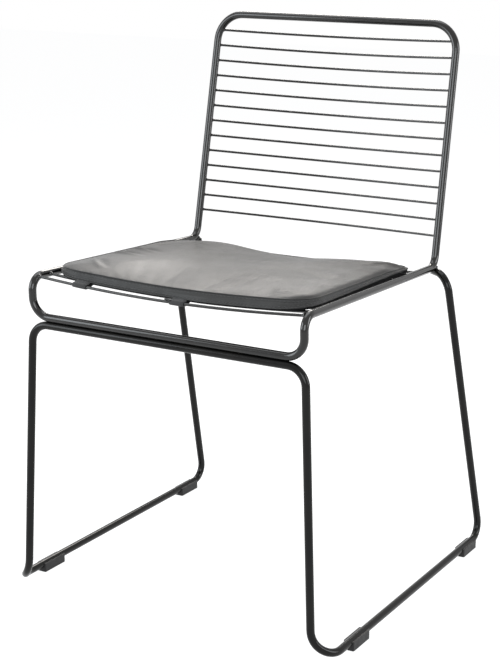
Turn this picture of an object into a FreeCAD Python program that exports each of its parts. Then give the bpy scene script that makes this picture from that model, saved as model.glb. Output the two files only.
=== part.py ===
import FreeCAD, Part
import math
import os
from FreeCAD import Vector as V

os.makedirs("parts", exist_ok=True)

# Wire mesh dining chair. Units are millimetres.
# X is across the chair, -Y is the front, Z is up. The floor is Z = 0 and the
# plane X = 0 is the middle of the chair. Heights and widths of bent rods are
# those of the rod's centre line, and a HALF is half a width.

# Stock
ROD_D = 11.0          # bent frame rod
BACK_WIRE_D = 3.6     # wires of the backrest
SEAT_WIRE_D = 4.0     # wires of the seat
WELD_BITE = 0.02      # how far two rods side by side are pressed into each other
WIRE_SET = 0.12       # how far a wire's end is pressed into the rod beside it

# Seat and back frame, one closed loop of rod
TOP_HALF = 196.5      # virtual top corners
TOP_Y = 217.0
TOP_Z = 783.5
BEND_HALF = 200.5     # virtual corner where stile meets seat side rail
BEND_Y = 156.0
BEND_Z = 443.5
FRONT_HALF = 207.0    # virtual corner at the front of the side rail
FRONT_Y = -252.6
FRONT_Z = 456.5
DROP_HALF = 207.5     # virtual corner at the foot of the short front drop
RAIL_Y = -250.0
RAIL_Z = 402.5
TOP_R = 40.0          # centre line bend radii
BEND_R = 20.0
FRONT_R = 18.0
DROP_R = 26.0

# Leg frame, the second rod, from the front rail down to both floor runners and
# up to its two ends, which lie against the outside of the seat bends
LEG_OUTSET = 1.5      # how much wider its shoulders are than the front drops
LEG_R = 26.0
LEG_SPLAY = 17.0      # front leg, outwards from shoulder to foot
LEG_LEAN = -0.7       # front leg, along Y from shoulder to foot
FOOT_SWING = 24.0     # the foot bend swings out this far to the runner
FOOT_START = 36.0     # the foot bend starts this far above the runner
FOOT_LENGTH = 36.2    # and ends this far behind the leg
FOOT_PULL_LEG = 26.5  # handles of the foot bend
FOOT_PULL_RUN = 26.0
RUN_BACK_Y = 259.0    # virtual rear corner of the floor runner
REAR_R = 22.0
REAR_OUT = 29.5       # upper corner of the rear leg, outwards from the seat bend
REAR_AHEAD = 22.9     # and this far ahead of the place of contact
REAR_TOP_R = 22.5
END_ANGLE = 56.0      # place of contact round the outside of the seat bend
END_ASKEW = 0.78      # the end crosses the bend askew, so it stands off this much
END_PAST = 7.0        # the rod runs on this far past the seat bend's plane
END_ROUND = 1.6       # rounded rim of the rod's end

# Wires
BACK_WIRES = 13
BACK_FIRST = 24.2     # first back wire, along the stile from its top corner
BACK_CLEAR = 44.9     # last back wire, along the stile from the seat corner
BACK_BOW = 34.0       # backward bow of the back wires
BACK_BOW_TOP = 22.0   # the first wire is flatter
SEAT_WIRES = 15
SEAT_FIRST = 9.6      # first seat wire, behind the front corner
SEAT_PITCH = 25.0
SEAT_SAG = 9.0        # downward bow of the seat wires

# Glides
GLIDE_FLOOR = 5.0     # plastic under the rod
GLIDE_LEN = 48.0
GLIDE_WALL = 2.2
GLIDE_GRIP = 2.2      # the jaws reach this far past the middle of the rod
GLIDE_R = 2.0
GLIDE_FRONT = 47.5    # middle of a front glide, behind the end of the foot bend
GLIDE_REAR = 54.0     # middle of a rear glide, ahead of the rear corner

# Seat pad, measured along the seat plane
PAD_GAP = 1.6         # to the side rails
PAD_FRONT_IN = 9.5    # front edge, behind the first seat wire
PAD_BACK_IN = 2.5     # back edge, ahead of the wire with the rear straps
PAD_FRONT_R = 56.0    # corners seen from above
PAD_BACK_R = 34.0
BAND_H = 15.0         # height of the side band
CROWN = 11.0          # extra height of the top panel, front to back
SIDE_CROWN = 2.5      # and from side to side
COVER_T = 1.2         # leatherette
STRAP_W = 25.0
STRAP_T = 1.4
STRAP_GAP = 0.2       # round the wire
STRAP_LEFT_X = -135.0
STRAP_MID_X = 18.0
STRAP_REAR_X = 112.0
STRAP_UNDER = 10.0    # how far a strap runs under the pad
STRAP_WIRES = 14      # seat wires from the front one to the one with the rear straps

# Sizes that follow from the ones above
LEG_HALF = DROP_HALF + LEG_OUTSET
LEG_RAIL_Z = RAIL_Z - ROD_D + WELD_BITE
FOOT_HALF = LEG_HALF + LEG_SPLAY
FOOT_Y = RAIL_Y + LEG_LEAN
RUN_HALF = FOOT_HALF + FOOT_SWING
RUN_Z = GLIDE_FLOOR + ROD_D / 2
FOOT_END_Y = FOOT_Y + FOOT_LENGTH
REAR_HALF = BEND_HALF + REAR_OUT
FIRST_Y = FRONT_Y + SEAT_FIRST
REAR_WIRE_Y = FIRST_Y + SEAT_PITCH * (STRAP_WIRES - 1)
PAD_FRONT = FIRST_Y + PAD_FRONT_IN
PAD_BACK = REAR_WIRE_Y - PAD_BACK_IN
PAD_MID = (PAD_FRONT + PAD_BACK) / 2


def rail_half(y):
    """Half width between the side rails' centre lines at Y = y."""
    return BEND_HALF + (FRONT_HALF - BEND_HALF) * (BEND_Y - y) / (BEND_Y - FRONT_Y)


def pad_half(y):
    """Half width of the pad, which follows the side rails."""
    return rail_half(y) - ROD_D / 2 - PAD_GAP


STILE_LENGTH = math.dist((TOP_HALF, TOP_Y, TOP_Z), (BEND_HALF, BEND_Y, BEND_Z))
BACK_PITCH = (STILE_LENGTH - BACK_FIRST - BACK_CLEAR) / (BACK_WIRES - 1)
# The pad's underside has the sag of the narrower end of the seat under it
NARROW_HALF = min(rail_half(PAD_FRONT), rail_half(PAD_BACK))
WIDE_HALF = max(pad_half(PAD_FRONT), pad_half(PAD_BACK))


# Helpers
def unit(v):
    return v * (1.0 / v.Length)


def bent(points, radii):
    """Straight runs joined by tangent arcs."""
    edges = []
    last = points[0]
    for i, r in enumerate(radii):
        a, b, c = points[i], points[i + 1], points[i + 2]
        u = unit(a - b)
        w = unit(c - b)
        half = u.getAngle(w) / 2
        reach = r / math.tan(half)
        p0 = b + u * reach
        p1 = b + w * reach
        mid = b + unit(u + w) * (r / math.sin(half) - r)
        edges.append(Part.LineSegment(last, p0).toShape())
        edges.append(Part.Arc(p0, mid, p1).toShape())
        last = p1
    edges.append(Part.LineSegment(last, points[-1]).toShape())
    return edges


def curve(p0, h0, h1, p1):
    c = Part.BezierCurve()
    c.setPoles([p0, h0, h1, p1])
    return c.toShape()


def rod(edges, diameter):
    path = Part.Wire(edges)
    start = edges[0].valueAt(edges[0].FirstParameter)
    ahead = edges[0].tangentAt(edges[0].FirstParameter)
    ring = Part.Wire(Part.makeCircle(diameter / 2, start, ahead))
    return path.makePipeShell([ring], True, False)


def both_halves(half):
    other = half.mirror(V(0, 0, 0), V(1, 0, 0))
    return single(half.fuse(other).removeSplitter())


def single(shape):
    return shape.Solids[0] if len(shape.Solids) == 1 else shape


def save(name, shape):
    shape.exportStep("parts/" + name + ".step")


# Seat and back frame
def seat_back_frame():
    pts = [V(0, TOP_Y, TOP_Z), V(TOP_HALF, TOP_Y, TOP_Z),
           V(BEND_HALF, BEND_Y, BEND_Z), V(FRONT_HALF, FRONT_Y, FRONT_Z),
           V(DROP_HALF, RAIL_Y, RAIL_Z), V(0, RAIL_Y, RAIL_Z)]
    return both_halves(rod(bent(pts, [TOP_R, BEND_R, FRONT_R, DROP_R]), ROD_D))


def leg_contact():
    """Where the leg rod's centre line passes the plane of the right seat bend."""
    corner = V(0, BEND_Y, BEND_Z)
    stile = unit(V(0, TOP_Y, TOP_Z) - corner)
    rail = unit(V(0, FRONT_Y, FRONT_Z) - corner)
    half = stile.getAngle(rail) / 2
    centre = corner + unit(stile + rail) * (BEND_R / math.sin(half))
    a = math.radians(END_ANGLE)
    out = V(0, math.cos(a), -math.sin(a)) * (BEND_R + ROD_D + END_ASKEW)
    return V(BEND_HALF, 0, 0) + centre + out


# Leg frame with floor runners
def leg_frame():
    contact = leg_contact()
    foot = V(FOOT_HALF, FOOT_Y, RUN_Z)
    shoulder = V(LEG_HALF, RAIL_Y, LEG_RAIL_Z)
    down = unit(foot - shoulder)
    leg_end = foot - down * (FOOT_START / abs(down.z))
    run_start = V(RUN_HALF, FOOT_END_Y, RUN_Z)
    heel = V(RUN_HALF, RUN_BACK_Y, RUN_Z)
    upper = V(REAR_HALF, contact.y - REAR_AHEAD, contact.z)
    rod_end = contact + unit(contact - upper) * END_PAST
    edges = bent([V(0, RAIL_Y, LEG_RAIL_Z), shoulder, leg_end], [LEG_R])
    edges.append(curve(leg_end, leg_end + down * FOOT_PULL_LEG,
                       run_start + V(0, -FOOT_PULL_RUN, 0), run_start))
    edges += bent([run_start, heel, upper, rod_end], [REAR_R, REAR_TOP_R])
    half = rod(edges, ROD_D)
    rim = [e for e in half.Edges if (e.CenterOfMass - rod_end).Length < 0.1]
    return both_halves(half.makeFillet(END_ROUND, rim))


def wire(a, middle, b, diameter):
    """Bowed wire between two rods whose centre lines hold a and b."""
    arc = Part.Arc(a, middle, b).toShape()
    trim = (ROD_D / 2 - WIRE_SET) / arc.Curve.Radius
    run = arc.Curve.toShape(arc.FirstParameter + trim, arc.LastParameter - trim)
    return rod([run], diameter)


# Back wires, bowed backwards square to the leaned back. The first one meets the
# frame in its top bends and is coped to them.
def back_wire(i, frame):
    t = (BACK_FIRST + BACK_PITCH * i) / STILE_LENGTH
    half = TOP_HALF + (BEND_HALF - TOP_HALF) * t
    y = TOP_Y + (BEND_Y - TOP_Y) * t
    z = TOP_Z + (BEND_Z - TOP_Z) * t
    behind = unit(V(0, TOP_Z - BEND_Z, BEND_Y - TOP_Y))
    bow = BACK_BOW_TOP if i == 0 else BACK_BOW
    run = wire(V(-half, y, z), V(0, y, z) + behind * bow, V(half, y, z), BACK_WIRE_D)
    return single(run.cut(frame)) if i == 0 else run


# The seat plane runs through the centre lines of both side rails. Wires, pad
# and straps are drawn level, with Z = 0 in that plane, and tilted into it.
SEAT_SLOPE = math.degrees(math.atan2(FRONT_Z - BEND_Z, BEND_Y - FRONT_Y))


def to_seat(shape):
    s = shape.copy()
    s.rotate(V(0, 0, 0), V(1, 0, 0), -SEAT_SLOPE)
    lift = BEND_Z + BEND_Y * math.tan(math.radians(SEAT_SLOPE))
    s.translate(V(0, 0, lift))
    return s


def seat_wire(i):
    y = FIRST_Y + SEAT_PITCH * i
    half = rail_half(y)
    return to_seat(wire(V(-half, y, 0), V(0, y, -SEAT_SAG), V(half, y, 0),
                        SEAT_WIRE_D))


# Glides clip up onto the runners
def glide(side, y, legs):
    width = ROD_D + 2 * GLIDE_WALL
    block = Part.makeBox(width, GLIDE_LEN, RUN_Z + GLIDE_GRIP,
                         V(side * RUN_HALF - width / 2, y - GLIDE_LEN / 2, 0))
    upright = [e for e in block.Edges
               if abs(e.tangentAt(e.FirstParameter).z) > 0.9]
    block = block.makeFillet(GLIDE_R, upright)
    return single(block.cut(legs))


# Seat pad. The underside lies on the sagging wires. The top is crowned front
# to back and follows the sag, and a low arch from side to side trims it.
SAG_R = (NARROW_HALF ** 2 + SEAT_SAG ** 2) / (2 * SEAT_SAG)
PAD_TURN = math.degrees(math.asin((WIDE_HALF + ROD_D) / SAG_R))
PAD_TALL = 3 * (BAND_H + CROWN + SEAT_SAG)


def outline(inset):
    """Outline of the pad with round corners, as a tall prism."""
    y0 = PAD_FRONT + inset
    y1 = PAD_BACK - inset
    x0 = pad_half(y0) - inset
    x1 = pad_half(y1) - inset
    base = Part.makePolygon([V(-x0, y0, -PAD_TALL), V(x0, y0, -PAD_TALL),
                             V(x1, y1, -PAD_TALL), V(-x1, y1, -PAD_TALL),
                             V(-x0, y0, -PAD_TALL)])
    prism = Part.Face(base).extrude(V(0, 0, 2 * PAD_TALL))
    for y, r in ((y0, PAD_FRONT_R), (y1, PAD_BACK_R)):
        corners = [e for e in prism.Edges if abs(e.tangentAt(e.FirstParameter).z) > 0.9
                   and abs(e.CenterOfMass.y - y) < 0.01]
        prism = prism.makeFillet(r - inset, corners)
    return prism


def slab(low, rim, crest):
    """Bar of pad section, turned about the centre line of the wires' sag."""
    floor = SEAT_WIRE_D / 2 - SEAT_SAG
    y0, y1 = PAD_FRONT, PAD_BACK
    arc = Part.Arc(V(0, y0, floor + rim), V(0, PAD_MID, floor + crest),
                   V(0, y1, floor + rim))
    face = Part.Face(Part.Wire([
        Part.LineSegment(V(0, y1, floor + low), V(0, y0, floor + low)).toShape(),
        Part.LineSegment(V(0, y0, floor + low), V(0, y0, floor + rim)).toShape(),
        arc.toShape(),
        Part.LineSegment(V(0, y1, floor + rim), V(0, y1, floor + low)).toShape()]))
    axis = V(0, 0, SAG_R - SEAT_SAG)
    face.rotate(axis, V(0, 1, 0), -PAD_TURN)
    return face.revolve(axis, V(0, 1, 0), 2 * PAD_TURN)


def arch(top):
    """Everything below a low arch from side to side."""
    r = (WIDE_HALF ** 2 + SIDE_CROWN ** 2) / (2 * SIDE_CROWN)
    z = SEAT_WIRE_D / 2 + top
    long = 2 * (PAD_BACK - PAD_FRONT)
    return Part.makeCylinder(r, long, V(0, PAD_MID - long / 2, z - r), V(0, 1, 0))


def pad_solid(inset):
    body = slab(inset, BAND_H - inset, BAND_H + CROWN - inset)
    return body.common(arch(BAND_H + SIDE_CROWN - inset)).common(outline(inset))


def pad_pieces():
    outer = pad_solid(0.0)
    core = pad_solid(COVER_T)
    inside = outline(COVER_T)
    shell = outer.cut(core)
    band = shell.cut(inside)
    panels = sorted(shell.common(inside).Solids, key=lambda p: p.CenterOfMass.z)
    return outer, core, band, panels[-1], panels[0]


# Straps come from the lower edge of the band, pass round a seat wire and end
# on the underside of the pad
def strap(x, wire_y, toward, edge_in, pad):
    sag = SEAT_SAG / rail_half(wire_y) ** 2
    wire_z = sag * x ** 2 - SEAT_SAG
    r_in = SEAT_WIRE_D / 2 + STRAP_GAP
    reach = edge_in + STRAP_UNDER

    def loop(r, end):
        a = V(-STRAP_W / 2, 0, r)
        b = V(-STRAP_W / 2, -toward * r, 0)
        c = V(-STRAP_W / 2, 0, -r)
        d = V(-STRAP_W / 2, toward * end, -r)
        e = V(-STRAP_W / 2, toward * end, r)
        return Part.Face(Part.Wire([Part.Arc(a, b, c).toShape(),
                                    Part.LineSegment(c, d).toShape(),
                                    Part.LineSegment(d, e).toShape(),
                                    Part.LineSegment(e, a).toShape()]))
    outer = loop(r_in + STRAP_T, reach).extrude(V(STRAP_W, 0, 0))
    inner = loop(r_in, reach - STRAP_T).extrude(V(STRAP_W, 0, 0))
    band = outer.cut(inner)
    band.rotate(V(0, 0, 0), V(0, 1, 0), -math.degrees(math.atan(2 * sag * x)))
    band.translate(V(x, wire_y, wire_z))
    return single(band.cut(pad))


frame = seat_back_frame()
legs = single(leg_frame().cut(frame))
save("seat_back_frame", frame)
save("leg_frame", legs)
for n in range(BACK_WIRES):
    save("back_wire_%02d" % (n + 1), back_wire(n, frame))
for n in range(SEAT_WIRES):
    save("seat_wire_%02d" % (n + 1), seat_wire(n))
front_y = FOOT_END_Y + GLIDE_FRONT
rear_y = RUN_BACK_Y - GLIDE_REAR
save("glide_front_left", glide(-1, front_y, legs))
save("glide_front_right", glide(1, front_y, legs))
save("glide_rear_left", glide(-1, rear_y, legs))
save("glide_rear_right", glide(1, rear_y, legs))

pad, core, band, top, bottom = pad_pieces()
save("pad_core", to_seat(core))
save("pad_band", to_seat(band))
save("pad_cover_top", to_seat(top))
save("pad_cover_bottom", to_seat(bottom))
save("strap_front_left", to_seat(strap(STRAP_LEFT_X, FIRST_Y, 1, PAD_FRONT_IN, pad)))
save("strap_front_middle", to_seat(strap(STRAP_MID_X, FIRST_Y, 1, PAD_FRONT_IN, pad)))
save("strap_rear_left", to_seat(strap(-STRAP_REAR_X, REAR_WIRE_Y, -1, PAD_BACK_IN, pad)))
save("strap_rear_right", to_seat(strap(STRAP_REAR_X, REAR_WIRE_Y, -1, PAD_BACK_IN, pad)))
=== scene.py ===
import bpy
import bmesh
import math
from mathutils import Matrix, Vector, noise


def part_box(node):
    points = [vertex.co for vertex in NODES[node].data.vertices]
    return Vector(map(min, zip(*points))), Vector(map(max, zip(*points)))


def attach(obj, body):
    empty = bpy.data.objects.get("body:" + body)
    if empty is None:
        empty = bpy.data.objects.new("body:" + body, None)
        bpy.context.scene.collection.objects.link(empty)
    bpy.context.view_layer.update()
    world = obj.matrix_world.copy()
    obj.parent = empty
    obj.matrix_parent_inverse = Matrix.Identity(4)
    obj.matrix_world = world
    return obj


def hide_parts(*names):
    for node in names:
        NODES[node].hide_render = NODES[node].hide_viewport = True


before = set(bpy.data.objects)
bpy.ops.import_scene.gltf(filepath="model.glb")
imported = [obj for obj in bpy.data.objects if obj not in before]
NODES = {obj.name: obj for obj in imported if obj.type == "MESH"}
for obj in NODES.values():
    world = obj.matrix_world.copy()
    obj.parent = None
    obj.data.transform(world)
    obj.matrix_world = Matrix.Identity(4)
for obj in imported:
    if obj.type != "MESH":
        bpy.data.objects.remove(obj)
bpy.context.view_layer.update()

SCENE = bpy.context.scene
MM = 0.001

# ------------------------------------------------------------------ sizes, mm
ROD_R = 5.5
BACK_WIRE_R = 1.8
SEAT_WIRE_R = 2.0
TOP = Vector((196.5, 217.0, 783.5))        # virtual corners of the frame's centre line
BEND = Vector((200.5, 156.0, 443.5))
FRONT = Vector((207.0, -252.6, 456.5))
RAIL_Y, RAIL_Z = -250.0, 402.5
BACK_WIRES, BACK_FIRST, BACK_CLEAR = 13, 24.2, 44.9
BACK_BOW, BACK_BOW_TOP = 34.0, 22.0
SEAT_WIRES, SEAT_FIRST, SEAT_PITCH, SEAT_SAG = 15, 9.6, 25.0, 9.0
LEG_CONTACT = Vector((0, 153.85, 442.57))  # where a leg's end meets the seat bend
BEND_RUN = Vector((0, 0.829, 0.559))       # direction of the seat bend there

PAD_GAP, PAD_FRONT_IN, PAD_BACK_IN = 1.6, 9.5, 2.5
PAD_PITCHES = 13                           # wire pitches under the pad
BAND_H, CROWN, SIDE_CROWN = 15.0, 11.0, 2.5
STRAP_W, STRAP_T, STRAP_GAP, STRAP_UNDER = 22.0, 1.3, 0.2, 9.5

FIRST_Y = FRONT.y + SEAT_FIRST
REAR_WIRE_Y = FIRST_Y + SEAT_PITCH * PAD_PITCHES
PAD_FRONT = FIRST_Y + PAD_FRONT_IN
PAD_BACK = REAR_WIRE_Y - PAD_BACK_IN
PAD_MID = (PAD_FRONT + PAD_BACK) / 2

SLOPE = math.atan2(FRONT.z - BEND.z, BEND.y - FRONT.y)
TO_SEAT = (Matrix.Translation((0, 0, BEND.z + BEND.y * math.tan(SLOPE)))
           @ Matrix.Rotation(-SLOPE, 4, "X"))


def seat_point(x, y, z):
    """A point of the level seat drawing, in metres in the chair's frame."""
    return (TO_SEAT @ Vector((x, y, z))) * MM


def rail_half(y):
    return BEND.x + (FRONT.x - BEND.x) * (BEND.y - y) / (BEND.y - FRONT.y)


def smooth(t):
    t = min(1.0, max(0.0, t))
    return t * t * (3 - 2 * t)


def fade(value, start, end):
    """0 up to start and 1 from end on, with a smooth step between."""
    return smooth((value - start) / (end - start))


# ------------------------------------------------------------------ materials
def new_material(name):
    m = bpy.data.materials.new(name)
    m.use_nodes = True
    tree = m.node_tree
    bsdf = tree.nodes["Principled BSDF"]
    coord = tree.nodes.new("ShaderNodeTexCoord")
    return m, tree, bsdf, coord.outputs["Object"]


def noise_node(tree, coord, scale, detail=3.0, rough=0.5):
    n = tree.nodes.new("ShaderNodeTexNoise")
    n.inputs["Scale"].default_value = scale
    n.inputs["Detail"].default_value = detail
    n.inputs["Roughness"].default_value = rough
    tree.links.new(coord, n.inputs["Vector"])
    return n.outputs["Fac"]


def ramp(tree, fac, stops):
    r = tree.nodes.new("ShaderNodeValToRGB")
    tree.links.new(fac, r.inputs["Fac"])
    els = r.color_ramp.elements
    els[0].position, els[1].position = stops[0][0], stops[-1][0]
    els[0].color = (*stops[0][1], 1)
    els[1].color = (*stops[-1][1], 1)
    for pos, col in stops[1:-1]:
        e = els.new(pos)
        e.color = (*col, 1)
    return r.outputs["Color"]


def span(tree, fac, lo, hi, from_lo=0.3, from_hi=0.7):
    r = tree.nodes.new("ShaderNodeMapRange")
    r.inputs["From Min"].default_value = from_lo
    r.inputs["From Max"].default_value = from_hi
    r.inputs["To Min"].default_value = lo
    r.inputs["To Max"].default_value = hi
    tree.links.new(fac, r.inputs["Value"])
    return r.outputs["Result"]


def math_node(tree, op, a, b):
    n = tree.nodes.new("ShaderNodeMath")
    n.operation = op
    for k, v in enumerate((a, b)):
        if isinstance(v, (int, float)):
            n.inputs[k].default_value = v
        else:
            tree.links.new(v, n.inputs[k])
    return n.outputs[0]


def bump(tree, height, distance, strength, below=None):
    b = tree.nodes.new("ShaderNodeBump")
    b.inputs["Strength"].default_value = strength
    b.inputs["Distance"].default_value = distance
    tree.links.new(height, b.inputs["Height"])
    if below is not None:
        tree.links.new(below, b.inputs["Normal"])
    return b.outputs["Normal"]


def lacquer_material(name, specular, coat):
    """Black lacquer on rod and wire, with orange peel and faint handling haze."""
    m, t, b, co = new_material(name)
    cloud = noise_node(t, co, 22.0, 4.0)
    t.links.new(ramp(t, cloud, [(0.30, (0.0022, 0.0022, 0.0024)),
                                (0.72, (0.0062, 0.0058, 0.0050))]), b.inputs["Base Color"])
    haze = noise_node(t, co, 60.0, 6.0, 0.65)
    t.links.new(span(t, haze, 0.12, 0.24), b.inputs["Roughness"])
    peel = noise_node(t, co, 620.0, 1.5)
    wave = noise_node(t, co, 95.0, 1.0)
    n1 = bump(t, wave, 0.0002, 0.12)
    t.links.new(bump(t, peel, 0.00003, 0.25, n1), b.inputs["Normal"])
    b.inputs["Specular IOR Level"].default_value = specular
    b.inputs["Coat Weight"].default_value = coat
    b.inputs["Coat Roughness"].default_value = 0.04
    return m


def plastic_material():
    """Black moulded plastic with a fine spark-eroded grain and scuffs."""
    m, t, b, co = new_material("black_plastic_moulded")
    cloud = noise_node(t, co, 90.0, 5.0, 0.6)
    t.links.new(ramp(t, cloud, [(0.30, (0.006, 0.006, 0.0065)),
                                (0.60, (0.011, 0.011, 0.0115)),
                                (0.78, (0.022, 0.0215, 0.021))]), b.inputs["Base Color"])
    t.links.new(span(t, cloud, 0.42, 0.62), b.inputs["Roughness"])
    grain = noise_node(t, co, 2600.0, 2.0)
    t.links.new(bump(t, grain, 0.00008, 0.5), b.inputs["Normal"])
    b.inputs["Specular IOR Level"].default_value = 0.32
    return m


REAR_SHADE_SPECULAR = 0.17                 # specular level of the leatherette at the back, lowered there as painted shade
REAR_SHADE_FROM_TO = -0.15, 0.0   # and where it falls to that from the front's painted sheen, metres from front to back


def leather_material(name, dark, light, rough_lo, rough_hi, front_sheen):
    """Black leatherette: pebbled grain, soft creases, and a painted sheen and shade, its specular
    level falling from the middle to the back.
    """
    m, t, b, co = new_material(name)
    cloud = noise_node(t, co, 14.0, 5.0, 0.6)
    t.links.new(ramp(t, cloud, [(0.28, dark), (0.74, light)]), b.inputs["Base Color"])
    rub = noise_node(t, co, 9.0, 4.0, 0.55)
    t.links.new(span(t, rub, rough_lo, rough_hi), b.inputs["Roughness"])
    v = t.nodes.new("ShaderNodeTexVoronoi")
    v.feature = "SMOOTH_F1"
    v.inputs["Scale"].default_value = 820.0
    v.inputs["Smoothness"].default_value = 0.6
    t.links.new(co, v.inputs["Vector"])
    fine = noise_node(t, co, 2200.0, 2.0)
    crease = noise_node(t, co, 130.0, 5.0, 0.7)
    n1 = bump(t, crease, 0.0006, 0.20)
    n2 = bump(t, v.outputs["Distance"], 0.00022, 0.45, n1)
    t.links.new(bump(t, fine, 0.00005, 0.4, n2), b.inputs["Normal"])
    # Painted sheen and painted shade: the specular level is higher at the front and falls towards
    # the back.
    split = t.nodes.new("ShaderNodeSeparateXYZ")
    t.links.new(co, split.inputs[0])
    drift = span(t, noise_node(t, co, 7.0, 2.0), -0.05, 0.05)
    depth = math_node(t, "ADD", split.outputs["Y"], drift)
    t.links.new(span(t, depth, front_sheen, REAR_SHADE_SPECULAR, *REAR_SHADE_FROM_TO), b.inputs["Specular IOR Level"])
    b.inputs["Sheen Weight"].default_value = 0.05
    b.inputs["Sheen Roughness"].default_value = 0.45
    return m


def under_cloth_and_shade_material():
    """Matt black non-slip cloth under the pad, also laid on the pad's side below the lower seam as
    painted shade.
    """
    m, t, b, co = new_material("black_underside_cloth_and_shade")
    n = noise_node(t, co, 900.0, 3.0)
    t.links.new(ramp(t, n, [(0.3, (0.0030, 0.0030, 0.0032)),
                            (0.7, (0.0075, 0.0075, 0.0078))]), b.inputs["Base Color"])
    t.links.new(span(t, n, 0.80, 0.98), b.inputs["Roughness"])
    t.links.new(bump(t, n, 0.00012, 0.5), b.inputs["Normal"])
    b.inputs["Specular IOR Level"].default_value = 0.10
    return m


def thread_material():
    """Waxed sewing thread, two plies."""
    m, t, b, co = new_material("black_thread")
    w = t.nodes.new("ShaderNodeTexWave")
    w.wave_type = "BANDS"
    w.bands_direction = "DIAGONAL"
    w.inputs["Scale"].default_value = 700.0
    w.inputs["Distortion"].default_value = 0.6
    t.links.new(co, w.inputs["Vector"])
    t.links.new(ramp(t, w.outputs["Fac"], [(0.2, (0.016, 0.016, 0.017)),
                                           (0.8, (0.05, 0.05, 0.05))]), b.inputs["Base Color"])
    t.links.new(span(t, w.outputs["Fac"], 0.42, 0.6, 0.0, 1.0), b.inputs["Roughness"])
    t.links.new(bump(t, w.outputs["Fac"], 0.0001, 0.6), b.inputs["Normal"])
    return m


def webbing_material():
    """Woven black strap tape: a tight plain weave with a fuzzy sheen."""
    m, t, b, co = new_material("black_webbing")
    waves = []
    for direction, scale in (("X", 290.0), ("Y", 330.0)):
        w = t.nodes.new("ShaderNodeTexWave")
        w.bands_direction = direction
        w.inputs["Scale"].default_value = scale
        w.inputs["Distortion"].default_value = 0.35
        t.links.new(co, w.inputs["Vector"])
        waves.append(w.outputs["Fac"])
    weave = math_node(t, "MULTIPLY", waves[0], waves[1])
    fuzz = noise_node(t, co, 1500.0, 3.0)
    mix = math_node(t, "ADD", weave, math_node(t, "MULTIPLY", fuzz, 0.35))
    t.links.new(ramp(t, mix, [(0.1, (0.006, 0.006, 0.0065)),
                              (0.9, (0.022, 0.022, 0.0225))]), b.inputs["Base Color"])
    t.links.new(span(t, mix, 0.65, 0.9, 0.0, 1.0), b.inputs["Roughness"])
    t.links.new(bump(t, mix, 0.00025, 0.7), b.inputs["Normal"])
    b.inputs["Sheen Weight"].default_value = 0.12
    b.inputs["Sheen Roughness"].default_value = 0.5
    return m


# Colours and levels as they look in the photograph.
# Two copies of one black lacquer: the frame, wires and welds reflect more and the legs less. This
# is a painted highlight on the back and painted shade on the legs.
LACQUER_LIT = lacquer_material("black_lacquer_gloss_lit", 0.30, 0.34)
LEG_LACQUER_SHADED = lacquer_material("black_lacquer_legs_shaded", 0.14, 0.12)
PLASTIC = plastic_material()
LEATHER = leather_material("black_leatherette", (0.019, 0.0182, 0.0172),
                           (0.031, 0.0290, 0.0266), 0.36, 0.50, 0.42)
# Darker copy of the leatherette for the pad's side and piping: painted shade on the side, which
# faces away from the lights.
BAND_SHADED = leather_material("black_leatherette_band_shaded", (0.009, 0.009, 0.009),
                        (0.019, 0.019, 0.0185), 0.42, 0.58, 0.36)
UNDER_CLOTH_AND_SHADE = under_cloth_and_shade_material()
THREAD = thread_material()
WEBBING = webbing_material()
CAD_MATERIALS = {"leg": LEG_LACQUER_SHADED, "glide": PLASTIC, "pad": LEATHER, "strap": WEBBING}

for name, obj in NODES.items():
    finish = CAD_MATERIALS.get(name.split("_")[0], LACQUER_LIT)
    for s in obj.material_slots:
        s.material = finish


# ------------------------------------------------------------------ mesh helpers
def mesh_object(name, verts, faces, mats, smooth_shade=True):
    me = bpy.data.meshes.new(name)
    me.from_pydata([tuple(v) for v in verts], [], faces)
    me.validate()
    me.update()
    o = bpy.data.objects.new(name, me)
    SCENE.collection.objects.link(o)
    for m in mats:
        me.materials.append(m)
    if smooth_shade:
        me.polygons.foreach_set("use_smooth", [True] * len(me.polygons))
    return o


def ring_tube(verts, faces, points, radii, sides, closed=False):
    """Tube of round rings along points, added to verts and faces."""
    n = len(points)
    base = len(verts)
    up = None
    for i, p in enumerate(points):
        a = points[(i - 1) % n] if closed or i else points[0]
        c = points[(i + 1) % n] if closed or i < n - 1 else points[-1]
        t = (c - a).normalized()
        if up is None:
            up = t.orthogonal().normalized()
        up = (up - t * up.dot(t)).normalized()
        side = t.cross(up)
        for k in range(sides):
            q = 2 * math.pi * k / sides
            verts.append(p + (up * math.cos(q) + side * math.sin(q)) * radii[i])
    last = n if closed else n - 1
    for i in range(last):
        for k in range(sides):
            j = (i + 1) % n
            faces.append((base + i * sides + k, base + i * sides + (k + 1) % sides,
                          base + j * sides + (k + 1) % sides, base + j * sides + k))
    if not closed:
        faces.append(tuple(base + k for k in reversed(range(sides))))
        faces.append(tuple(base + (n - 1) * sides + k for k in range(sides)))


def apply_modifiers(o):
    dg = bpy.context.evaluated_depsgraph_get()
    me = bpy.data.meshes.new_from_object(o.evaluated_get(dg))
    old = o.data
    o.modifiers.clear()
    o.data = me
    bpy.data.meshes.remove(old)


# ------------------------------------------------------------------ seat pad
NARROW_HALF = min(rail_half(PAD_FRONT), rail_half(PAD_BACK))
SAG_R = (NARROW_HALF ** 2 + SEAT_SAG ** 2) / (2 * SEAT_SAG)
FROM_SEAT = TO_SEAT.inverted()

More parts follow.
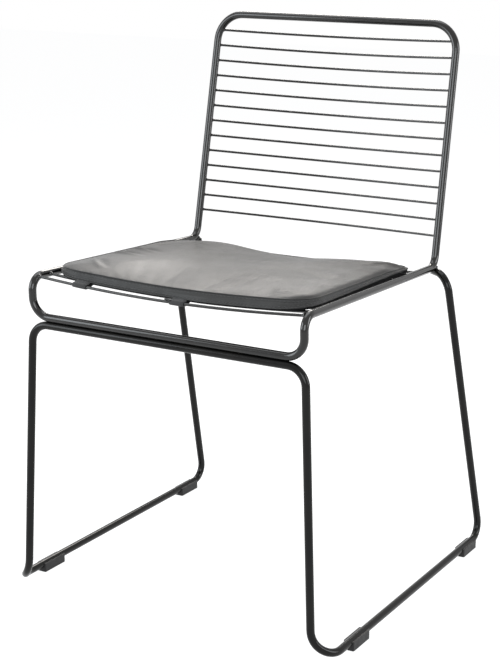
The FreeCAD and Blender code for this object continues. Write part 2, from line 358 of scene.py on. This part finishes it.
# The pad's side as the photograph shows it, left, right, front and back: height of
# the top seam over the wires and how far it lies in from the outline, the same for
# the lower seam, how far in the foot stands, and how softly the top rolls down to
# the top seam.
SEAM_H = (8.3, 11.5, 14.2, 12.5)
SEAM_IN = (1.0, 2.5, 3.6, 1.5)
LIP_H = (3.0, 5.0, 2.8, 3.0)
LIP_IN = (0.3, -2.0, 0.0, 0.3)
FOOT_IN = (1.0, 0.4, -0.2, 2.0)
ROLL = (13.0, 4.0, 4.0, 3.5)
CORNER_R = (56.0, 44.0, 15.0, 50.0)     # front left, front right, back right, back left
ARC_STEPS = 12                          # points on half of a corner
UNDER_H = 0.3                           # height of the starting form's underside
START_LOW = 0.8                         # how much lower its top is than the finished one

# Rows of the pad's side (see wall_point) and soft pleats along it: share and depth.
WALL_ROWS = (0.0, 0.12, 0.26, 0.36, 0.46, 0.58, 0.68, 0.78, 0.9, 1.0, 1.3, 1.65, 2.0)
PLEATS = ((0.0, 0.5), (0.36, 0.55), (0.68, 0.45), (0.97, 0.3))
PLEAT_W = 0.07
GRID_X, GRID_Y = 100, 80

# Swells and dips across the padded top: middle, width and height.
REAR_SWELLS = ((105, 55, 2.2), (20, 40, -1.4), (-95, 48, 4.4), (-190, 30, -2.0))
SITTING_DIP = ((0, 85, -2.0),)
LEFT_SLACK = ((-176, 30, -6.5),)
EDGE_SWELLS = ((178, 26, 1.4), (-185, 50, -1.2))

SIM_FRAMES = 16
SIM_CAP, SIM_KEPT = 2.2, 0.75           # longest move, and the share of it that stays
SLOW_WAVES = ((0.011, 3.1, 1.0), (0.035, 8.1, 0.35))    # scale, seed and share
WAVE_H = 1.1
REST_CLEAR, REST_SAG = 0.06, 0.5        # underside over the wires, and lower between them


def level(p):
    """Back from metres in the chair's frame to the level seat drawing."""
    return FROM_SEAT @ (p / MM)


def pad_half(y):
    return rail_half(y) - ROD_R - PAD_GAP


def underside(x):
    """Top of the sagging wires in the level drawing."""
    return SEAT_WIRE_R - SEAT_SAG + SAG_R - math.sqrt(SAG_R ** 2 - x ** 2)


def by_side(x, y, values):
    """One of the values for left, right, front and back, blended round the corners."""
    u, v = x / pad_half(y), (y - PAD_MID) / (PAD_BACK - PAD_MID)
    wide, deep = u ** 8, v ** 8
    side = values[0] if u < 0 else values[1]
    end = values[2] if v < 0 else values[3]
    return (side * wide + end * deep + 1e-6 * end) / (wide + deep + 1e-6)


def edge_distance(x, y):
    """Distance in from the pad's outline, negative outside."""
    dx = pad_half(y) - abs(x)
    dy = min(y - PAD_FRONT, PAD_BACK - y)
    r = CORNER_R[(0 if x < 0 else 1) if y < PAD_MID else (3 if x < 0 else 2)]
    if dx < r and dy < r:
        return r - math.hypot(r - dx, r - dy)
    return min(dx, dy)


def far_corner(x, y):
    """1 at the rear right corner, where the pad thins out towards the rail."""
    return fade(x, 154, 194) * fade(y, 10, 72)


def seam_height(x, y):
    return by_side(x, y, SEAM_H) - 3.0 * far_corner(x, y)


def lip_height(x, y):
    """The lower seam rises towards the rear right corner."""
    return by_side(x, y, LIP_H) + 3.2 * fade(x, 110, 170) * fade(y, -200, 30)


def reach_out(x, y):
    """The pad's front lies nearer to the front wire in its right half."""
    front = 4.4 * fade(x, -10, 60) * (1 - fade(y - PAD_FRONT, 0, 50))
    return front + 2.5 * far_corner(x, y)


def curl(x, y):
    """The rear right corner of the pad turns up a little."""
    return 1.4 * fade(x, 60, 180) * fade(y, -10, 80)


def swells(x, table):
    return sum(high * math.exp(-((x - at) / wide) ** 2) for at, wide, high in table)


def plump(x, y):
    """Height of the padded top over the wires, away from the seams."""
    rise = max(0.0, 1 - ((y - PAD_MID) / (PAD_BACK - PAD_MID)) ** 2)
    crowned = BAND_H + CROWN * rise
    arch = SEAT_WIRE_R + BAND_H + SIDE_CROWN * (1 - (x / pad_half(PAD_FRONT)) ** 2)
    high = min(crowned, arch - underside(x))
    high += fade(y, 0, 80) * swells(x, REAR_SWELLS)
    high += rise * swells(x, SITTING_DIP)
    high += fade(y, -50, 10) * (1 - fade(y, 52, 78)) * swells(x, LEFT_SLACK)
    return high + swells(x, EDGE_SWELLS)


def top_height(x, y):
    inside = edge_distance(x, y) - by_side(x, y, SEAM_IN)
    high = plump(x, y)
    roll = by_side(x, y, ROLL) + 9.0 * far_corner(x, y)
    return high - (high - seam_height(x, y)) * math.exp(-max(0.0, inside) / roll)


def corner_arc(i):
    """Middle, start and sweep of one rounded corner of the outline."""
    x0, x1 = pad_half(PAD_FRONT), pad_half(PAD_BACK)
    corners = [Vector((-x0, PAD_FRONT, 0)), Vector((x0, PAD_FRONT, 0)),
               Vector((x1, PAD_BACK, 0)), Vector((-x1, PAD_BACK, 0))]
    r = CORNER_R[i % 4]
    c = corners[i % 4]
    u, w = (corners[i % 4 - 1] - c).normalized(), (corners[(i + 1) % 4] - c).normalized()
    half = u.angle(w) / 2
    centre = c + (u + w).normalized() * (r / math.sin(half))
    start = c + u * (r / math.tan(half)) - centre
    return centre, start, math.pi - 2 * half


def outline_side(i, steps):
    """Even points from the middle of corner i to the middle of the next one."""
    line = []
    for corner, first in ((i, 0.5), (i + 1, 0.0)):
        centre, start, sweep = corner_arc(corner)
        for k in range(ARC_STEPS + 1):
            turn = Matrix.Rotation(sweep * (first + 0.5 * k / ARC_STEPS), 3, "Z")
            line.append(centre + turn @ start)
    run = [0.0]
    for k in range(1, len(line)):
        run.append(run[-1] + (line[k] - line[k - 1]).length)
    out, k = [], 0
    for n in range(steps):
        want = run[-1] * n / steps
        while run[k + 1] < want:
            k += 1
        out.append(line[k].lerp(line[k + 1], (want - run[k]) / (run[k + 1] - run[k])))
    return out


def pad_ring(nx, ny):
    """Points round the outline with their inward normals, anticlockwise from above."""
    pts = []
    for i, steps in enumerate((nx, ny, nx, ny)):
        pts += outline_side(i, steps)
    out = []
    for i, p in enumerate(pts):
        t = (pts[(i + 1) % len(pts)] - pts[i - 1]).normalized()
        out.append((p, Vector((-t.y, t.x, 0))))
    return out


def wall_point(p, inward, share):
    """Point of the pad's side: 0 at the top seam, 1 at the lower one, 2 on the wires."""
    lip_h = lip_height(p.x, p.y)
    lip_in = by_side(p.x, p.y, LIP_IN) - reach_out(p.x, p.y)
    if share <= 1:
        seam_h, seam_in = seam_height(p.x, p.y), by_side(p.x, p.y, SEAM_IN)
        seam_in -= 2.5 * far_corner(p.x, p.y)
        high = seam_h + (lip_h - seam_h) * share
        inset = seam_in + (lip_in - seam_in) * share - 0.9 * math.sin(math.pi * share)
        for at, deep in PLEATS:
            drift = 0.05 * noise.noise(Vector((p.x * 0.03, p.y * 0.03, at * 9)))
            inset += deep * math.exp(-((share - at - drift) / PLEAT_W) ** 2)
        inset += 0.30 * noise.noise(Vector((p.x * 0.11, p.y * 0.11, share * 0.8)))
    else:
        high = lip_h + (UNDER_H - lip_h) * (share - 1)
        foot_in = by_side(p.x, p.y, FOOT_IN) - 1.3 * reach_out(p.x, p.y)
        inset = lip_in + (foot_in - lip_in) * smooth(share - 1)
    q = p + inward * inset
    return Vector((q.x, q.y, underside(q.x) + high))


def filled(ring, height):
    """Grid inside a ring of GRID_X, GRID_Y, GRID_X, GRID_Y steps, blended from its sides."""
    nx, ny = GRID_X, GRID_Y
    front, right = ring[:nx + 1], ring[nx:nx + ny + 1]
    back = list(reversed(ring[nx + ny:2 * nx + ny + 1]))
    left = list(reversed(ring[2 * nx + ny:] + ring[:1]))
    grid = []
    for j in range(ny + 1):
        v = j / ny
        for i in range(nx + 1):
            u = i / nx
            q = (front[i] * (1 - v) + back[i] * v + left[j] * (1 - u) + right[j] * u
                 - front[0] * ((1 - u) * (1 - v)) - front[nx] * (u * (1 - v))
                 - back[0] * ((1 - u) * v) - back[nx] * (u * v))
            if 0 < i < nx and 0 < j < ny:
                q.z = underside(q.x) + height(q.x, q.y)
            grid.append(q)
    return grid


def pad_start():
    """Closed starting form, a little flatter than the finished pad, and its fixed points."""
    nx, ny = GRID_X, GRID_Y
    ring = pad_ring(nx, ny)
    rows = [[wall_point(p, n, s) for p, n in ring] for s in WALL_ROWS]
    top = filled(rows[0], lambda x, y: (top_height(x, y)
                                        - START_LOW * fade(edge_distance(x, y), 0, 25)))
    floor = filled(rows[-1], lambda x, y: UNDER_H)
    around = ([i for i in range(nx)] + [j * (nx + 1) + nx for j in range(ny)]
              + [ny * (nx + 1) + nx - i for i in range(nx)]
              + [(ny - j) * (nx + 1) for j in range(ny)])
    verts = top + [p for row in rows[1:-1] for p in row] + floor
    count = len(top)
    loops = [around]
    for r in range(len(rows) - 2):
        loops.append([count + r * len(ring) + k for k in range(len(ring))])
    base = count + (len(rows) - 2) * len(ring)
    loops.append([base + k for k in around])
    faces = []
    for j in range(ny):
        for i in range(nx):
            a = j * (nx + 1) + i
            faces.append((a, a + 1, a + nx + 2, a + nx + 1))
            faces.append((base + a, base + a + nx + 1, base + a + nx + 2, base + a + 1))
    for a, b in zip(loops, loops[1:]):
        for k in range(len(ring)):
            m = (k + 1) % len(ring)
            faces.append((a[k], b[k], b[m], a[m]))
    o = mesh_object("seat_pad", [seat_point(*p) for p in verts], faces, [LEATHER, BAND_SHADED, UNDER_CLOTH_AND_SHADE])
    fixed = set(range(len(verts))) - set(range(count)) | set(around)
    return o, sorted(fixed)


# Soft folds at the pad's edges: start and end in the level drawing, width and height.
FOLDS = (((-166, -167), (-121, -203), 5.0, 1.5),
         ((-186, -88), (-118, -116), 5.5, 3.0),
         ((-186, -40), (-110, -84), 5.5, 2.8),
         ((-182, 4), (-146, -6), 8.0, 0.8),
         ((172, -88), (120, -66), 12.0, 1.1),
         ((60, -226), (44, -196), 10.0, 0.6),
         ((150, -208), (122, -188), 9.0, 0.7))


def fold_height(x, y):
    """Ridges of the folds, each with a wider valley beside it, fading out inwards."""
    total = 0.0
    for (ax, ay), (bx, by), width, high in FOLDS:
        ux, uy = bx - ax, by - ay
        long = math.hypot(ux, uy)
        ux, uy = ux / long, uy / long
        s = ((x - ax) * ux + (y - ay) * uy) / long
        if -0.1 < s < 1.15:
            d = (x - ax) * -uy + (y - ay) * ux
            d += 5.0 * math.sin(2.2 * s)
            fade = smooth((s + 0.1) / 0.25) * (1 - smooth((s - 0.25) / 0.9))
            ridge = math.exp(-(d / width) ** 2)
            valley = math.exp(-((d - 1.7 * width) / (1.3 * width)) ** 2)
            total += high * fade * (ridge - 0.75 * valley)
    return total


def simulate_pad(o, fixed):
    """Inflates the pad as cloth over its fixed sides."""
    bpy.context.view_layer.objects.active = o
    start = [v.co.copy() for v in o.data.vertices]
    g = o.vertex_groups.new(name="pin")
    g.add(fixed, 1.0, "REPLACE")
    c = o.modifiers.new("cloth", "CLOTH")
    s = c.settings
    s.quality = 6
    s.mass = 0.25
    s.use_pressure = True
    s.uniform_pressure_force = 2.5
    s.vertex_group_mass = "pin"
    s.pin_stiffness = 1.0
    s.shrink_min = -0.001
    s.tension_stiffness = 18.0
    s.compression_stiffness = 18.0
    s.shear_stiffness = 6.0
    s.bending_stiffness = 3.0
    s.effector_weights.gravity = 0.0
    c.point_cache.frame_start = 1
    c.point_cache.frame_end = SIM_FRAMES
    for f in range(1, SIM_FRAMES + 1):
        SCENE.frame_set(f)
        bpy.context.evaluated_depsgraph_get()
    apply_modifiers(o)
    cap = SIM_CAP * MM
    for v, was in zip(o.data.vertices, start):
        d = v.co - was
        if d.length > cap:
            d *= cap / d.length
        v.co = was + d * SIM_KEPT
    SCENE.frame_set(1)


def shape_pad(o):
    """One subdivision, the folds and slow waves, the wires it rests on and the curl."""
    o.vertex_groups.clear()
    m = o.modifiers.new("subdivision", "SUBSURF")
    m.levels = 1
    apply_modifiers(o)
    me = o.data
    for v in me.vertices:
        p = level(v.co)
        inside = edge_distance(p.x, p.y)
        lift = p.z - underside(p.x)
        if lift > seam_height(p.x, p.y) - 0.2:
            p.z += fold_height(p.x, p.y) * fade(inside, 3, 15)
            wave = sum(share * noise.noise(Vector((p.x * f, p.y * f, seed)))
                       for f, seed, share in SLOW_WAVES)
            p.z += WAVE_H * wave * fade(inside, 4, 44)
        between = 0.5 - 0.5 * math.cos(2 * math.pi * (p.y - FIRST_Y) / SEAT_PITCH)
        rest = underside(p.x) + REST_CLEAR - REST_SAG * between
        if p.z < rest or (lift < 1.0 and inside > 6):
            p.z = rest
        p.z += curl(p.x, p.y)
        v.co = (TO_SEAT @ p) * MM
    me.update()
    for poly in me.polygons:
        p = level(poly.center)
        lift = p.z - underside(p.x) - curl(p.x, p.y)
        # Faces on the pad's side get the darker copy of the leatherette, as painted shade.
        side = lift < seam_height(p.x, p.y) - 0.1 and edge_distance(p.x, p.y) < 8.0
        # Below the lower seam the side gets the near-black underside cloth as painted shade. Faces
        # that look down are the real underside cloth.
        under = lift < lip_height(p.x, p.y) - 0.4 or poly.normal.z < -0.5
        poly.material_index = 2 if under else 1 if side else 0
        poly.use_smooth = True


pad, fixed = pad_start()
simulate_pad(pad, fixed)
shape_pad(pad)
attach(pad, "root")
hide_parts("pad_core", "pad_band", "pad_cover_top", "pad_cover_bottom")

RING = pad_ring(140, 112)


def on_wall(share, below=0.0):
    """Points round the pad's side at a share of it, or so many mm below the top seam."""
    out = []
    for p, n in RING:
        s = share
        if below:
            s += below / (seam_height(p.x, p.y) - lip_height(p.x, p.y))
        q = wall_point(p, n, s)
        out.append((seat_point(q.x, q.y, q.z + curl(q.x, q.y)),
                    -(TO_SEAT.to_3x3() @ n).normalized()))
    return out


def welt(name, share, radius, out):
    """Piping round the pad, along a seam."""
    pts = on_wall(share)
    centre = [p + n * out for p, n in pts]
    n = len(centre)
    for _ in range(2):
        centre = [(centre[i - 1] + centre[i] * 2 + centre[(i + 1) % n]) / 4 for i in range(n)]
    verts, faces = [], []
    ring_tube(verts, faces, centre, [radius] * n, 8, closed=True)
    o = mesh_object(name, verts, faces, [BAND_SHADED])
    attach(o, "root")


def stitches(name, share, below, length, radius):
    """Row of stitches round the pad, at every second point."""
    pts = on_wall(share, below)
    verts, faces = [], []
    n = len(pts)
    for i in range(0, n, 2):
        p, normal = pts[i]
        along = (pts[(i + 1) % n][0] - pts[i - 1][0]).normalized()
        mid = p + normal * (radius * 0.45)
        line = [mid - along * length / 2 - normal * radius, mid - along * length * 0.3,
                mid, mid + along * length * 0.3, mid + along * length / 2 - normal * radius]
        ring_tube(verts, faces, line,
                  [radius * 0.6, radius, radius * 1.05, radius, radius * 0.6], 6)
    o = mesh_object(name, verts, faces, [THREAD])
    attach(o, "root")


welt("pad_welt_top", 0.0, 0.95 * MM, 0.15 * MM)
welt("pad_welt_bottom", 1.0, 1.10 * MM, 0.1 * MM)
stitches("pad_stitches_top", 0.0, 2.3, 3.0 * MM, 0.36 * MM)
stitches("pad_stitches_bottom", 1.0, -2.3, 3.0 * MM, 0.36 * MM)


# ------------------------------------------------------------------ straps
def tape(name, verts, n):
    """Closed length of tape through cross sections of n points each."""
    rows = len(verts) // n
    faces = []
    for i in range(rows - 1):
        for k in range(n):
            faces.append((i * n + k, i * n + (k + 1) % n,
                          (i + 1) * n + (k + 1) % n, (i + 1) * n + k))
    faces.append(tuple(range(n)))
    faces.append(tuple((rows - 1) * n + k for k in reversed(range(n))))
    o = mesh_object(name, verts, faces, [WEBBING])
    bm = bmesh.new()
    bm.from_mesh(o.data)
    bmesh.ops.recalc_face_normals(bm, faces=bm.faces)
    bm.to_mesh(o.data)
    bm.free()
    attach(o, "root")
    return o


def strap(name, node, x, wire_y, toward, edge_in, tail):
    """Sewn tape: from the pad's lower edge round the wire and back under the pad."""
    tilt = math.atan(x / math.sqrt(SAG_R ** 2 - x ** 2))
    wire_z = underside(x) - SEAT_WIRE_R
    r = SEAT_WIRE_R + STRAP_GAP + STRAP_T / 2
    rise = 3.4 if edge_in > 5 else 0.6
    last = edge_in + STRAP_UNDER
    path = [(edge_in + 1.2, SEAT_WIRE_R + rise), (edge_in * 0.55 + 1.6, r + rise * 0.35),
            (2.4, r + 0.1)]
    for k in range(11):
        a = math.radians(90 + 18 * k)
        path.append((r * math.cos(a), r * math.sin(a)))
    path += [(4.0, -r), (last - 9.5, 0.8 - r), (last - 6.5, 2.6 - r),
             (last - 3.8, SEAT_WIRE_R - STRAP_T * 0.75), (last, SEAT_WIRE_R - STRAP_T * 0.6)]
    path = [(toward * y, z) for y, z in path]
    w, t = STRAP_W / 2, STRAP_T / 2
    edge = 0.45
    cross = [(-w, -t + edge), (-w + edge, -t), (-w * 0.5, -t), (0, -t), (w * 0.5, -t),
             (w - edge, -t), (w, -t + edge), (w, t - edge), (w - edge, t), (w * 0.5, t),
             (0, t), (-w * 0.5, t), (-w + edge, t), (-w, t - edge)]
    verts = []
    turn = Matrix.Rotation(-tilt, 4, "Y")
    for i, (py, pz) in enumerate(path):
        a = path[max(0, i - 1)]
        b = path[min(len(path) - 1, i + 1)]
        ty, tz = b[0] - a[0], b[1] - a[1]
        long = math.hypot(ty, tz)
        ny, nz = -tz / long, ty / long
        wobble = 0.5 * noise.noise(Vector((i * 0.35, x * 0.1, 0.3)))
        for cx, cn in cross:
            cup = 0.12 * (cx / w) ** 2
            q = turn @ Vector((cx + wobble, py + ny * (cn + cup), pz + nz * (cn + cup)))
            verts.append(seat_point(x + q.x, wire_y + q.y, wire_z + q.z))
    o = tape(name, verts, len(cross))
    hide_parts(node)
    if tail:
        add_tail(name + "_end", x, wire_y)


def add_tail(name, x, wire_y):
    """Free end of the tape, poking out sideways over the front wire."""
    verts = []
    steps, w, t = 8, 4.2, 0.5
    for i in range(steps + 1):
        s = i / steps
        cx = x - 9.0 - 9.0 * s
        cz = underside(cx) + 0.9 + 0.9 * s * s
        half = w * (1 - 0.25 * s)
        cross = ((-half, -t), (-half, t), (0, t + 0.2), (half, t), (half, -t), (0, 0.2 - t))
        for dy, dz in cross:
            verts.append(seat_point(cx, wire_y - 0.8 + dy * 0.8, cz + dz))
    tape(name, verts, len(cross))


strap("tape_front_left", "strap_front_left", -135.0, FIRST_Y, 1, PAD_FRONT_IN, False)
strap("tape_front_middle", "strap_front_middle", 18.0, FIRST_Y, 1, PAD_FRONT_IN, True)
strap("tape_rear_left", "strap_rear_left", -112.0, REAR_WIRE_Y, -1, PAD_BACK_IN, False)
strap("tape_rear_right", "strap_rear_right", 112.0, REAR_WIRE_Y, -1, PAD_BACK_IN, False)


# ------------------------------------------------------------------ welds
# Fillet round a wire's end: how far out along the wire, and height over it.
CONE = ((1.5, 1.75), (0.4, 1.6), (-0.4, 1.15), (-1.1, 0.6), (-1.9, 0.25), (-3.0, -0.03))
CONE_SIDES = 12
RAIL_BEADS_X = (-170, -85, 0, 85, 170)
BEAD_OUT = 3.6                  # beads lie this far out from where two rods touch
RAIL_BEAD = 9, 2.2              # half length and radius between the front rails
END_BEAD = 5, 2.0               # and at the leg ends


def weld_cone(verts, faces, end, out, wire_r, seed):
    """Small flared fillet round a wire's end, from the rod's skin outwards."""
    n = CONE_SIDES
    base = len(verts)
    up = out.orthogonal().normalized()
    side = out.cross(up)
    for along, extra in CONE:
        for k in range(n):
            q = 2 * math.pi * k / n
            uneven = noise.noise(Vector((math.cos(q) * 1.3 + seed, math.sin(q) * 1.3,
                                         along * 0.6)))
            r = wire_r + extra * (1 + 0.30 * uneven if extra > 0 else 1)
            p = end + out * along + (up * math.cos(q) + side * math.sin(q)) * r
            verts.append(p * MM)
    for i in range(len(CONE) - 1):
        for k in range(n):
            m = (k + 1) % n
            faces.append((base + i * n + k, base + (i + 1) * n + k,
                          base + (i + 1) * n + m, base + i * n + m))


def bow_end(half, bow, x):
    """How far a wire is bowed at x, and its slope there."""
    r = (half ** 2 + bow ** 2) / (2 * bow)
    root = math.sqrt(r * r - x ** 2)
    return bow - (r - root), x / root


def wire_welds():
    verts, faces = [], []
    stile = BEND - TOP
    pitch = (stile.length - BACK_FIRST - BACK_CLEAR) / (BACK_WIRES - 1)
    behind = Vector((0, TOP.z - BEND.z, BEND.y - TOP.y)).normalized()
    for i in range(BACK_WIRES):
        p = TOP + stile * ((BACK_FIRST + pitch * i) / stile.length)
        x_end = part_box("back_wire_%02d" % (i + 1))[1].x / MM
        depth, slope = bow_end(p.x, BACK_BOW_TOP if i == 0 else BACK_BOW, x_end)
        for s in (-1, 1):
            end = Vector((s * x_end, p.y, p.z)) + behind * depth
            out = (Vector((s, 0, 0)) - behind * slope).normalized()
            weld_cone(verts, faces, end, out, BACK_WIRE_R, i * 2.7 + s)
    for i in range(SEAT_WIRES):
        y = FIRST_Y + SEAT_PITCH * i
        x_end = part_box("seat_wire_%02d" % (i + 1))[1].x / MM
        depth, slope = bow_end(rail_half(y), SEAT_SAG, x_end)
        for s in (-1, 1):
            end = TO_SEAT @ Vector((s * x_end, y, -depth))
            out = (TO_SEAT.to_3x3() @ Vector((s, 0, slope))).normalized()
            weld_cone(verts, faces, end, out, SEAT_WIRE_R, i * 3.1 + s + 50)
    o = mesh_object("welds_wires", verts, faces, [LACQUER_LIT])
    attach(o, "root")


def bead(verts, faces, middle, reach, radius, seed):
    """Rippled weld bead in the groove between two rods, reach to both sides of its middle."""
    steps = 14
    a, b = middle - reach, middle + reach
    pts, radii = [], []
    for i in range(steps + 1):
        s = i / steps
        ripple = 1 + 0.12 * math.sin(i * 2.4 + seed)
        ripple += 0.1 * noise.noise(Vector((i * 0.5, seed, 0)))
        cap = math.sqrt(max(0.02, 1 - (2 * s - 1) ** 6))
        pts.append(a.lerp(b, s) * MM)
        radii.append(radius * ripple * cap * MM)
    ring_tube(verts, faces, pts, radii, 10)


def rod_welds():
    verts, faces = [], []
    reach, radius = RAIL_BEAD
    for x in RAIL_BEADS_X:
        bead(verts, faces, Vector((x, RAIL_Y + BEAD_OUT, RAIL_Z - ROD_R)),
             Vector((reach, 0, 0)), radius, x * 0.1)
    reach, radius = END_BEAD
    for side in (-1, 1):
        for off in (-BEAD_OUT, BEAD_OUT):
            bead(verts, faces, LEG_CONTACT + Vector((side * (BEND.x + off), 0, 0)),
                 BEND_RUN * reach, radius, off)
    o = mesh_object("welds_rods", verts, faces, [LACQUER_LIT])
    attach(o, "root")


wire_welds()
rod_welds()


# ------------------------------------------------------------------ camera
FOCAL_PX, FRAME_PX, SENSOR = 1589.185, 666.0, 36.0
AZIMUTH, ELEVATION, ROLL_ANGLE = 29.822, 14.566, 0.686
DISTANCE = 2497.833
TARGET = Vector((-119.452, 184.913, 294.832))


def make_camera():
    az, el, roll = (math.radians(v) for v in (AZIMUTH, ELEVATION, ROLL_ANGLE))
    back = Vector((math.sin(az) * math.cos(el), -math.cos(az) * math.cos(el), math.sin(el)))
    right = (-back).cross(Vector((0, 0, 1))).normalized()
    up = right.cross(-back)
    r2 = right * math.cos(roll) + up * math.sin(roll)
    u2 = up * math.cos(roll) - right * math.sin(roll)
    turn = Matrix((r2, u2, back)).transposed().to_4x4()
    data = bpy.data.cameras.new("camera")
    data.sensor_fit = "AUTO"
    data.sensor_width = SENSOR
    data.lens = FOCAL_PX * SENSOR / FRAME_PX
    data.clip_start, data.clip_end = 0.05, 60.0
    cam = bpy.data.objects.new("camera", data)
    SCENE.collection.objects.link(cam)
    cam.matrix_world = Matrix.Translation((TARGET + back * DISTANCE) * MM) @ turn
    SCENE.camera = cam


make_camera()


# ------------------------------------------------------------------ floor and light
def seen_rays(tree):
    """1 for camera, glossy and transmission rays."""
    path = tree.nodes.new("ShaderNodeLightPath")
    a = math_node(tree, "MAXIMUM", path.outputs["Is Camera Ray"], path.outputs["Is Glossy Ray"])
    return math_node(tree, "MAXIMUM", a, path.outputs["Is Transmission Ray"])


def make_floor():
    """Pale floor that looks white to the camera and keeps the chair's shadow."""
    s, z = 9.0, -0.0002
    o = mesh_object("floor", [(-s, -s, z), (s, -s, z), (s, s, z), (-s, s, z)],
                    [(0, 1, 2, 3)], [], False)
    m = bpy.data.materials.new("floor_white")
    m.use_nodes = True
    t = m.node_tree
    t.nodes.clear()
    out = t.nodes.new("ShaderNodeOutputMaterial")
    pale = t.nodes.new("ShaderNodeBsdfDiffuse")
    pale.inputs["Color"].default_value = (0.80, 0.79, 0.775, 1)
    shade = t.nodes.new("ShaderNodeBsdfDiffuse")
    shade.inputs["Color"].default_value = (0.40, 0.40, 0.40, 1)
    glow = t.nodes.new("ShaderNodeEmission")
    glow.inputs["Color"].default_value = (1, 1, 1, 1)
    glow.inputs["Strength"].default_value = 0.83
    add = t.nodes.new("ShaderNodeAddShader")
    t.links.new(shade.outputs[0], add.inputs[0])
    t.links.new(glow.outputs[0], add.inputs[1])
    mix = t.nodes.new("ShaderNodeMixShader")
    t.links.new(seen_rays(t), mix.inputs[0])
    t.links.new(pale.outputs[0], mix.inputs[1])
    t.links.new(add.outputs[0], mix.inputs[2])
    t.links.new(mix.outputs[0], out.inputs["Surface"])
    o.data.materials.append(m)


def make_world():
    w = bpy.data.worlds.new("studio")
    SCENE.world = w
    w.use_nodes = True
    t = w.node_tree
    t.nodes.clear()
    out = t.nodes.new("ShaderNodeOutputWorld")
    dim = t.nodes.new("ShaderNodeBackground")
    dim.inputs["Color"].default_value = (0.97, 0.98, 1.0, 1)
    dim.inputs["Strength"].default_value = 0.40
    white = t.nodes.new("ShaderNodeBackground")
    white.inputs["Color"].default_value = (1, 1, 1, 1)
    white.inputs["Strength"].default_value = 1.0
    mix = t.nodes.new("ShaderNodeMixShader")
    t.links.new(seen_rays(t), mix.inputs[0])
    t.links.new(dim.outputs[0], mix.inputs[1])
    t.links.new(white.outputs[0], mix.inputs[2])
    t.links.new(mix.outputs[0], out.inputs["Surface"])


def softbox(name, at, aim, size, watts, colour):
    data = bpy.data.lights.new(name, "AREA")
    data.shape = "RECTANGLE"
    data.size, data.size_y = size
    data.energy = watts
    data.color = colour
    o = bpy.data.objects.new(name, data)
    SCENE.collection.objects.link(o)
    o.location = at
    o.rotation_mode = "QUATERNION"
    o.rotation_quaternion = (Vector(aim) - Vector(at)).to_track_quat("-Z", "Y")


make_floor()
make_world()
softbox("light_top", (-0.5, 0.3, 2.3), (0, 0, 0.45), (1.8, 1.4), 18.0, (0.96, 0.98, 1.0))
softbox("light_back", (-0.8, 1.6, 1.6), (0, -0.15, 0.46), (0.9, 0.5), 15.0, (1.0, 0.955, 0.90))
softbox("light_left", (-1.9, -1.7, 1.15), (0, 0, 0.62), (1.6, 1.5), 42.0, (0.90, 0.96, 1.0))
softbox("light_front", (1.55, -2.75, 1.2), (0, 0, 0.62), (1.9, 1.5), 46.0, (0.93, 0.97, 1.0))
softbox("light_right", (2.5, 0.7, 1.15), (0, 0, 0.62), (0.9, 1.5), 28.0, (0.96, 0.98, 1.0))

SCENE.view_settings.view_transform = "Standard"
